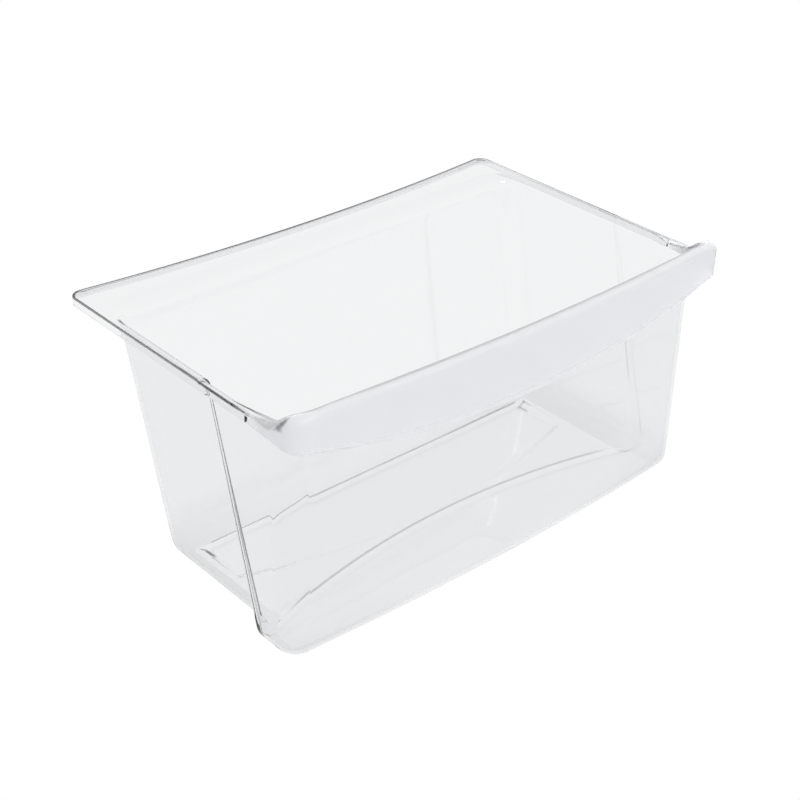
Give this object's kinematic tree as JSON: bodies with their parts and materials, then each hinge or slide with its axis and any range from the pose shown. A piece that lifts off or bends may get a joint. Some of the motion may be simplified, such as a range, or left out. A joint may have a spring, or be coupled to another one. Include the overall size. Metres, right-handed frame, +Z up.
{
  "type": "fridge crisper drawer",
  "caption": "Clear plastic fridge crisper drawer: open-topped tub with a stepped, bowed front, a raised curved handle with a finger gap, and a flanged rim that slides on shelf rails.",
  "frame": {"origin": "middle of the drawer's box in plan, at the level of its underside", "axes": "+X across to the right as seen from the handle side, -Y out of the handle face towards the user, +Z up"},
  "size_m": [0.4, 0.265, 0.203],
  "materials": {
    "clear_plastic": "clear, polished, faintly frosted on the handle"
  },
  "bodies": {
    "root": {"crisper_drawer": "clear_plastic"}
  },
  "joints": []
}
